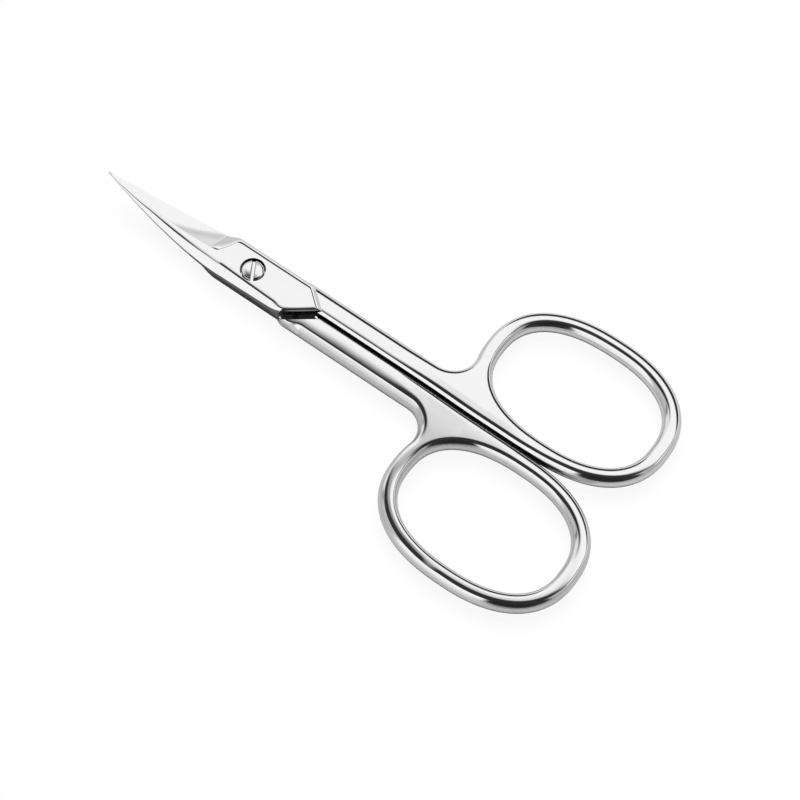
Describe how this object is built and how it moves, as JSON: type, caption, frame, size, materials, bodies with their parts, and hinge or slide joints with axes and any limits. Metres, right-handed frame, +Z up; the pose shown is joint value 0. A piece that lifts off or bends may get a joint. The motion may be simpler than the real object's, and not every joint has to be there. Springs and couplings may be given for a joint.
{
  "type": "eyebrow scissors",
  "caption": "Small polished grooming scissors with slender upturned blades, a slotted pivot screw sunk in the joint, and squared oval finger bows.",
  "frame": {"origin": "middle of the closed scissors' box in plan, on the surface that they lie on", "axes": "+Z up, out of the side with the screw's head, towards which the tips curve; tips towards -X, finger bows towards +X; the half with the screw's head has its bow at +Y"},
  "size_m": [0.0902, 0.0458, 0.0051],
  "materials": {
    "polished_steel": "mirror polished",
    "screw_steel": "polished, turned head"
  },
  "bodies": {
    "threaded_half": {"bottom_half": "polished_steel", "pivot_screw": "screw_steel"},
    "screw_side_half": {"top_half": "polished_steel"}
  },
  "joints": [
    {"name": "pivot", "type": "hinge", "parent": "threaded_half", "child": "screw_side_half", "pos_m": [-0.01879, 0, 0.002], "axis": [0, 0, 1], "range_deg": [0, 120]}
  ]
}
